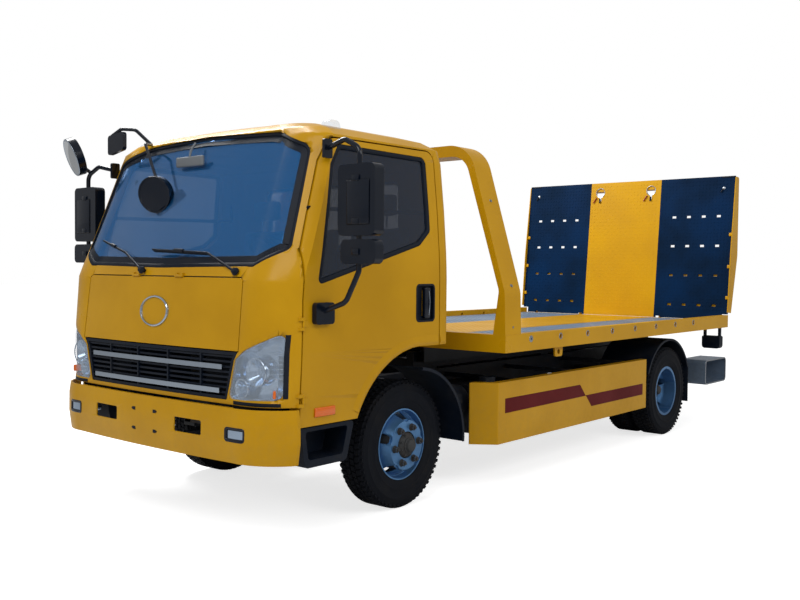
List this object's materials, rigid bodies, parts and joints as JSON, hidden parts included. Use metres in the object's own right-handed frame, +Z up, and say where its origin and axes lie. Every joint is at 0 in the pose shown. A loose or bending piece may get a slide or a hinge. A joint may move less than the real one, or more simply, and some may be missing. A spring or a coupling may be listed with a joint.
{
  "type": "flatbed tow truck",
  "caption": "Two-axle flatbed recovery truck with a forward cab, a tilting and sliding car-carrying bed, a headboard hoop, a winch and a folding rear ramp.",
  "frame": {"origin": "bottom centre of the box round the whole truck, on the ground", "axes": "+X forward, +Y to the truck's left, +Z up"},
  "size_m": [5.9948, 2.725, 2.3564],
  "materials": {
    "yellow_paint": "gloss",
    "black_paint": "satin",
    "silver_rims": "satin",
    "cast_iron": "rough",
    "tyre": "matt",
    "black_plastic": "matt",
    "grey_plastic": "matt",
    "seat_cloth": "woven",
    "window_glass": "clear",
    "lamp_glass": "clear",
    "chrome": "polished",
    "lamp_red": "gloss",
    "lamp_clear": "gloss",
    "deck_plate": "chequered",
    "tread_plate": "chequered",
    "bare_steel": "worn",
    "silencer_steel": "dull"
  },
  "bodies": {
    "chassis": {"chassis_frame": "black_paint", "leaf_springs": "black_paint", "front_axle": "black_paint", "rear_axle_and_shaft": "black_paint", "engine_and_radiator": "cast_iron", "tanks": "black_paint", "exhaust": "silencer_steel", "side_skirts": "yellow_paint", "mudguards": "black_plastic", "control_boxes": "silver_rims", "bumper": "yellow_paint", "fog_lamps": "lamp_clear"},
    "cab": {"cab_shell": "yellow_paint", "cab_floor": "black_plastic", "cab_glass": "window_glass", "dashboard": "grey_plastic", "steering_wheel": "black_plastic", "seats": "seat_cloth", "wipers": "black_plastic", "roof_mirrors": "black_plastic", "headlamps": "chrome", "lamp_lenses": "lamp_glass", "grille": "black_plastic", "grille_bars": "chrome"},
    "front_flap": {"front_panel": "yellow_paint"},
    "left_door": {"door_left": "yellow_paint", "door_glass_left": "window_glass", "mirror_left": "black_plastic"},
    "right_door": {"door_right": "yellow_paint", "door_glass_right": "window_glass", "mirror_right": "black_plastic"},
    "left_knuckle": {"knuckle_left": "black_paint"},
    "right_knuckle": {"knuckle_right": "black_paint"},
    "steering_rod": {"tie_rod": "black_paint"},
    "front_left_wheel": {"wheel_front_left": "silver_rims", "tyre_front_left": "tyre"},
    "front_right_wheel": {"wheel_front_right": "silver_rims", "tyre_front_right": "tyre"},
    "rear_left_wheels": {"wheels_rear_left": "silver_rims", "tyres_rear_left": "tyre"},
    "rear_right_wheels": {"wheels_rear_right": "silver_rims", "tyres_rear_right": "tyre"},
    "tilting_frame": {"tilt_frame": "black_paint"},
    "cylinder_barrels": {"tilt_barrels": "black_paint"},
    "cylinder_rods": {"tilt_rods": "chrome"},
    "bed": {"bed_frame": "yellow_paint", "bed_deck": "deck_plate", "slide_rod": "chrome", "hoop": "yellow_paint", "winch_frame": "black_paint", "tail_lamps": "lamp_red"},
    "drum": {"winch_drum": "bare_steel"},
    "ramp": {"ramp_frame": "yellow_paint", "ramp_treads": "tread_plate"}
  },
  "joints": [
    {"name": "cab_tilt", "type": "hinge", "parent": "chassis", "child": "cab", "pos_m": [2.7775, 0, 0.762], "axis": [0, 1, 0], "range_deg": [0, 45]},
    {"name": "front_flap_lift", "type": "hinge", "parent": "cab", "child": "front_flap", "pos_m": [2.9085, 0, 1.386], "axis": [0, -1, 0], "range_deg": [0, 75]},
    {"name": "left_door_swing", "type": "hinge", "parent": "cab", "child": "left_door", "pos_m": [2.7495, 1.013, 1.3], "axis": [0, 0, -1], "range_deg": [0, 70]},
    {"name": "right_door_swing", "type": "hinge", "parent": "cab", "child": "right_door", "pos_m": [2.7495, -1.013, 1.3], "axis": [0, 0, 1], "range_deg": [0, 70]},
    {"name": "steer_left", "type": "hinge", "parent": "chassis", "child": "left_knuckle", "pos_m": [1.7775, 0.69, 0.383], "axis": [0, 0, 1], "range_deg": [-35, 35]},
    {"name": "steer_right", "type": "hinge", "parent": "chassis", "child": "right_knuckle", "pos_m": [1.7775, -0.69, 0.383], "axis": [0, 0, 1], "range_deg": [-35, 35]},
    {"name": "tie_rod_shift", "type": "slide", "parent": "chassis", "child": "steering_rod", "axis": [0, -1, 0], "range_m": [-0.102, 0.102]},
    {"name": "front_left_spin", "type": "hinge", "parent": "left_knuckle", "child": "front_left_wheel", "pos_m": [1.7775, 0.8, 0.383], "axis": [0, 1, 0], "continuous": true},
    {"name": "front_right_spin", "type": "hinge", "parent": "right_knuckle", "child": "front_right_wheel", "pos_m": [1.7775, -0.8, 0.383], "axis": [0, 1, 0], "continuous": true},
    {"name": "rear_left_spin", "type": "hinge", "parent": "chassis", "child": "rear_left_wheels", "pos_m": [-1.6825, 0.8, 0.383], "axis": [0, 1, 0], "continuous": true},
    {"name": "rear_right_spin", "type": "hinge", "parent": "chassis", "child": "rear_right_wheels", "pos_m": [-1.6825, -0.8, 0.383], "axis": [0, 1, 0], "continuous": true},
    {"name": "bed_tilt", "type": "hinge", "parent": "chassis", "child": "tilting_frame", "pos_m": [-2.6225, 0, 0.676], "axis": [0, -1, 0], "range_deg": [0, 13]},
    {"name": "bed_slide", "type": "slide", "parent": "tilting_frame", "child": "bed", "axis": [-1, 0, 0], "range_m": [0, 2.2]},
    {"name": "ramp_fold", "type": "hinge", "parent": "bed", "child": "ramp", "pos_m": [-2.7745, 0, 0.935], "axis": [0, -1, 0], "range_deg": [0, 87]},
    {"name": "barrel_swing", "type": "hinge", "parent": "chassis", "child": "cylinder_barrels", "pos_m": [-1.2225, 0, 0.6], "axis": [0, -1, 0], "range_deg": [0, 31.02]},
    {"name": "rod_stroke", "type": "slide", "parent": "cylinder_barrels", "child": "cylinder_rods", "axis": [0.995, 0, 0.0995], "range_m": [0, 0.1195]},
    {"name": "winch_turn", "type": "hinge", "parent": "bed", "child": "drum", "pos_m": [0.8775, 0, 1.11], "axis": [0, 1, 0], "continuous": true}
  ],
  "couplings": [
    {"joint": "steer_right", "follows": "steer_left", "ratio": 1},
    {"joint": "tie_rod_shift", "follows": "steer_left", "m_per_rad": 0.165},
    {"joint": "barrel_swing", "follows": "bed_tilt", "ratio": 2.3704},
    {"joint": "rod_stroke", "follows": "bed_tilt", "m_per_rad": 0.52216}
  ]
}
